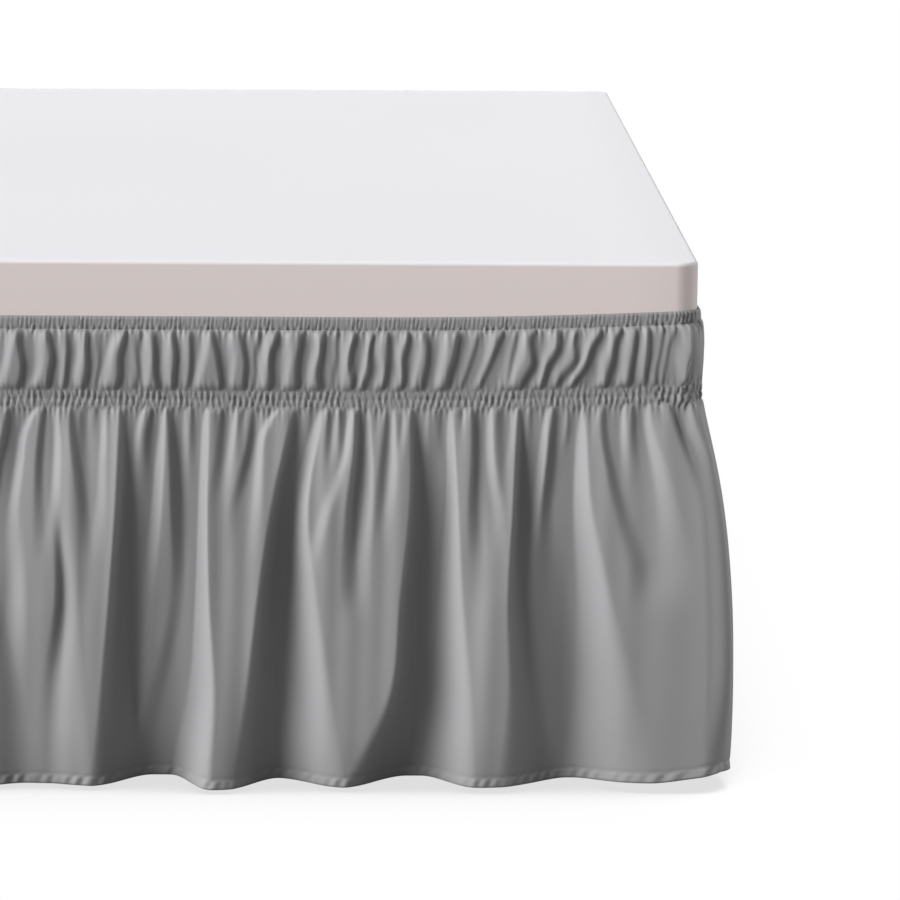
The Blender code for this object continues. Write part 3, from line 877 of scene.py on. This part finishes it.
# The drop in four lengths, which meet a little past the middle of each corner.
FOOT_COLUMN = 0.0042
TURN_COLUMN = 0.0012
SIDE_COLUMN = 0.0050
FOOT_END = 0.7641
foot_start = FOOT_END - STRAIGHT_X - CORNER_ARC
right_end = FOOT_END + STRAIGHT_Y + CORNER_ARC
head_end = right_end + STRAIGHT_X + CORNER_ARC
left_end = foot_start + OUTLINE_LENGTH
DROP_PANELS = (
    {"name": "drop_foot", "flat": (2.1, 0.375), "end": FOOT_END,
     "columns": (even_steps(foot_start, SHOWN_START, FOOT_COLUMN),
                 SHOWN_COLUMNS[SHOWN_COLUMNS < FOOT_END])},
    {"name": "drop_right_side", "flat": (2.7, 0.375), "end": right_end,
     "columns": (even_steps(FOOT_END, TURN_END, TURN_COLUMN),
                 even_steps(TURN_END, right_end, SIDE_COLUMN))},
    {"name": "drop_head", "flat": (2.0, 0.375), "end": head_end,
     "columns": (even_steps(right_end, head_end, SIDE_COLUMN),)},
    {"name": "drop_left_side", "flat": (2.7, 0.375), "end": left_end,
     "columns": (even_steps(head_end, left_end, SIDE_COLUMN),)},
)
for panel in DROP_PANELS:
    columns = np.append(np.concatenate(panel["columns"]), panel["end"])
    drop = cloth_strip(panel["name"], columns, drop_rows, place_drop)
    drop.data.materials.append(brushed_microfibre)
    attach(drop, "root")
    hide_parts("drop")


# ---- Floor, light and camera ---------------------------------------------------------------
# A plain white studio floor and surround. A large soft light stands to the front left, so the
# folds' left flanks are bright, a weaker one low on the right lights the side, and the white
# surround fills the rest. To the camera the floor glows white, with painted shade close under
# the hem.

FLOOR_SIZE = 40.0
FLOOR_BOUNCE = "7a7a7a"
SURROUND = 0.36

# The floor's painted contact shade: how far off the cloth shelters it, how open the floor is
# where the painted shade is full and where it ends, and how bright the full painted shade is.
CONTACT_REACH = 0.5
CONTACT_DARK = 0.42
CONTACT_LIGHT = 0.60
PAINTED_CONTACT_SHADE = 0.73

LAMPS = (
    {"name": "key softbox", "towards": (-0.88, -0.38, 0.36), "strength": 5.5, "spread": 45},
    {"name": "side softbox", "towards": (1.00, 0.18, 0.05), "strength": 2.6, "spread": 40},
)

# The camera stands off the foot of the bed, right of its middle, and looks a little down.
CAMERA_PLACE = (0.5399, -4.0241, 0.9042)
CAMERA_DOWN = math.radians(10.873)
CAMERA_LEFT = math.radians(0.216)
CAMERA_ROLL = math.radians(0.276)
CAMERA_SENSOR = 36.0
CAMERA_LENS = 129.13

mesh = bpy.data.meshes.new("studio_floor")
ground = bmesh.new()
bmesh.ops.create_grid(ground, x_segments=1, y_segments=1, size=FLOOR_SIZE / 2)
ground.to_mesh(mesh)
ground.free()
floor = bpy.data.objects.new("studio_floor", mesh)
bpy.context.scene.collection.objects.link(floor)
white_floor, tree, shader = new_finish("white studio floor", Roughness=0.9)
# To the camera the floor is a white glow darkened by painted shade close under the hem, worked
# out from how sheltered each spot is.
rays = add_node(tree, "ShaderNodeLightPath")
shelter = add_node(tree, "ShaderNodeAmbientOcclusion", {"Distance": CONTACT_REACH})
painted_floor_shade = add_node(tree, "ShaderNodeMapRange", {"Value": shelter.outputs["AO"],
                                            "From Min": CONTACT_DARK, "From Max": CONTACT_LIGHT,
                                            "To Min": PAINTED_CONTACT_SHADE, "To Max": 1.0})
seen = add_node(tree, "ShaderNodeMath", {"Value": rays.outputs["Is Camera Ray"],
                                         "Value_001": painted_floor_shade.outputs["Result"]},
                operation="MULTIPLY")
dull = add_node(tree, "ShaderNodeMix", {"Factor_Float": rays.outputs["Is Camera Ray"],
                                        "A_Color": linear(FLOOR_BOUNCE),
                                        "B_Color": (0.0, 0.0, 0.0, 1.0)}, data_type="RGBA")
tree.links.new(dull.outputs["Result"], shader.inputs["Base Color"])
shader.inputs["Specular IOR Level"].default_value = 0.0
shader.inputs["Emission Color"].default_value = (1.0, 1.0, 1.0, 1.0)
tree.links.new(seen.outputs["Value"], shader.inputs["Emission Strength"])
mesh.materials.append(white_floor)

world = bpy.data.worlds.new("white surround")
world.use_nodes = True
tree = world.node_tree
backdrop = tree.nodes["Background"]
backdrop.inputs["Color"].default_value = (1.0, 1.0, 1.0, 1.0)
rays = add_node(tree, "ShaderNodeLightPath")
seen = add_node(tree, "ShaderNodeMapRange", {"Value": rays.outputs["Is Camera Ray"],
                                             "To Min": SURROUND, "To Max": 1.0})
tree.links.new(seen.outputs["Result"], backdrop.inputs["Strength"])
bpy.context.scene.world = world

for kind in LAMPS:
    lamp = bpy.data.lights.new(kind["name"], "SUN")
    lamp.energy = kind["strength"]
    lamp.angle = math.radians(kind["spread"])
    softbox = bpy.data.objects.new(kind["name"], lamp)
    bpy.context.scene.collection.objects.link(softbox)
    softbox.rotation_euler = Vector(kind["towards"]).to_track_quat("Z", "Y").to_euler()

lens = bpy.data.cameras.new("camera")
lens.sensor_width = CAMERA_SENSOR
lens.lens = CAMERA_LENS
camera = bpy.data.objects.new("camera", lens)
bpy.context.scene.collection.objects.link(camera)
turned = (Matrix.Rotation(CAMERA_LEFT, 4, "Z")
          @ Matrix.Rotation(math.pi / 2 - CAMERA_DOWN, 4, "X")
          @ Matrix.Rotation(CAMERA_ROLL, 4, "Z"))
camera.matrix_world = Matrix.Translation(CAMERA_PLACE) @ turned
bpy.context.scene.camera = camera
bpy.context.scene.view_settings.view_transform = "Standard"
